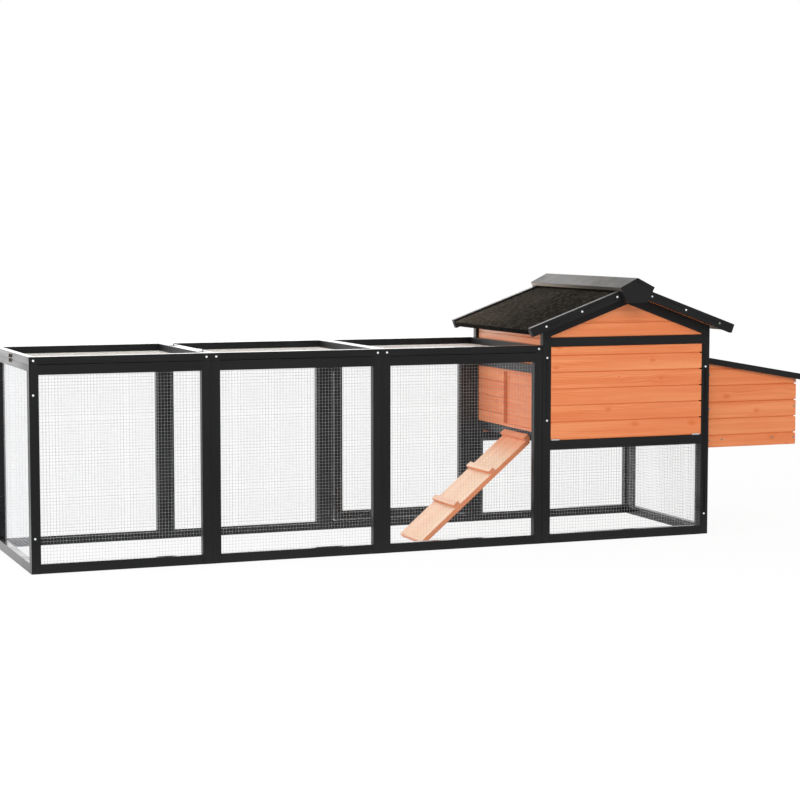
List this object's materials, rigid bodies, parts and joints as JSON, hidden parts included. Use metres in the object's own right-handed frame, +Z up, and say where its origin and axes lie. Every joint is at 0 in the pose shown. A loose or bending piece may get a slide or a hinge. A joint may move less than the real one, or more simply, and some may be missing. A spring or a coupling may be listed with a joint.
{
  "type": "wooden chicken coop with run",
  "caption": "Free-standing wooden hen coop: a long wire-net run with a hinged roof hatch and back door, and a raised boarded house with felt roof, drop-down front, ramp and nest box.",
  "frame": {"origin": "on the ground under the middle of the coop's bounding box", "axes": "+X along the run towards the house and nest box, +Y from the front to the back, +Z up"},
  "size_m": [3.433, 0.892, 1.109],
  "materials": {
    "black_timber": "satin black painted softwood",
    "stained_boards": "orange stained softwood boards",
    "plain_wood": "lightly stained softwood",
    "felt": "mineral bitumen roofing felt",
    "net_wire": "galvanised welded wire net",
    "zinc_steel": "zinc plated",
    "brass_fitting": "dull brass"
  },
  "bodies": {
    "frame": {"run_stiles": "black_timber", "run_bottom_rails": "black_timber", "run_top_rails": "black_timber", "end_frame": "black_timber", "roof_frames": "black_timber", "house_posts": "black_timber", "house_mid_rails": "black_timber", "house_head_rails": "black_timber", "house_base_frame": "black_timber", "house_side_rails": "black_timber", "nest_jambs": "black_timber", "gable_rafters": "black_timber", "barge_boards": "black_timber", "ridge_boards": "black_timber", "ridge_end_plates": "black_timber", "left_wall_boards": "stained_boards", "right_wall_boards": "stained_boards", "back_wall_boards": "stained_boards", "gable_boards": "stained_boards", "nest_side_walls": "stained_boards", "nest_end_wall": "stained_boards", "pop_door_runners": "stained_boards", "roof_battens": "stained_boards", "roof_boards": "stained_boards", "perches": "plain_wood", "floor_bearers": "plain_wood", "house_floor": "plain_wood", "nest_floor": "plain_wood", "nest_divider": "plain_wood", "roof_felts": "felt", "run_mesh": "net_wire", "end_mesh": "net_wire", "roof_frame_mesh": "net_wire", "house_base_mesh": "net_wire", "screws": "zinc_steel", "hinge_base_leaves": "zinc_steel", "perch_brackets": "zinc_steel", "hook_stud": "brass_fitting"},
    "front_door": {"front_door_boards": "stained_boards", "front_door_ledges": "stained_boards", "front_door_leaves": "zinc_steel"},
    "nest_lid": {"nest_lid_felt": "felt", "nest_lid_board": "plain_wood", "nest_lid_edging": "black_timber", "nest_lid_leaves": "zinc_steel"},
    "pop_door": {"pop_door_panel": "stained_boards", "pop_door_rod": "zinc_steel"},
    "ramp": {"ramp_board": "plain_wood", "ramp_cleats": "plain_wood", "ramp_leaves": "zinc_steel"},
    "back_door": {"back_door_frame": "black_timber", "back_door_mesh": "net_wire", "back_door_leaves": "zinc_steel"},
    "back_door_button": {"back_door_button": "black_timber"},
    "hatch": {"hatch_frame": "black_timber", "hatch_mesh": "net_wire", "hatch_screws": "zinc_steel", "hatch_leaves": "zinc_steel"},
    "hatch_hook": {"hatch_hook": "brass_fitting"}
  },
  "joints": [
    {"name": "front_door_swing", "type": "hinge", "parent": "frame", "child": "front_door", "pos_m": [0.8285, -0.3695, 0.4345], "axis": [1, 0, 0], "range_deg": [0, 175]},
    {"name": "nest_lid_swing", "type": "hinge", "parent": "frame", "child": "nest_lid", "pos_m": [1.226, 0, 0.76494], "axis": [0, -1, 0], "range_deg": [0, 55]},
    {"name": "pop_door_slide", "type": "slide", "parent": "frame", "child": "pop_door", "axis": [0, 1, 0], "range_m": [0, 0.265]},
    {"name": "ramp_swing", "type": "hinge", "parent": "frame", "child": "ramp", "pos_m": [0.445, -0.105, 0.44], "axis": [0, 1, 0], "range_deg": [0, 70]},
    {"name": "back_door_swing", "type": "hinge", "parent": "frame", "child": "back_door", "pos_m": [-0.2397, 0.3695, 0.4], "axis": [0, 0, 1], "range_deg": [0, 170]},
    {"name": "back_door_button_turn", "type": "hinge", "parent": "frame", "child": "back_door_button", "pos_m": [0.4147, 0.3666, 0.401], "axis": [0, 1, 0], "range_deg": [0, 90]},
    {"name": "hatch_swing", "type": "hinge", "parent": "frame", "child": "hatch", "pos_m": [-0.9945, 0, 0.8345], "axis": [0, 1, 0], "range_deg": [0, 175]},
    {"name": "hatch_hook_turn", "type": "hinge", "parent": "hatch", "child": "hatch_hook", "pos_m": [-1.7085, 0, 0.817], "axis": [1, 0, 0], "range_deg": [0, 90]}
  ]
}
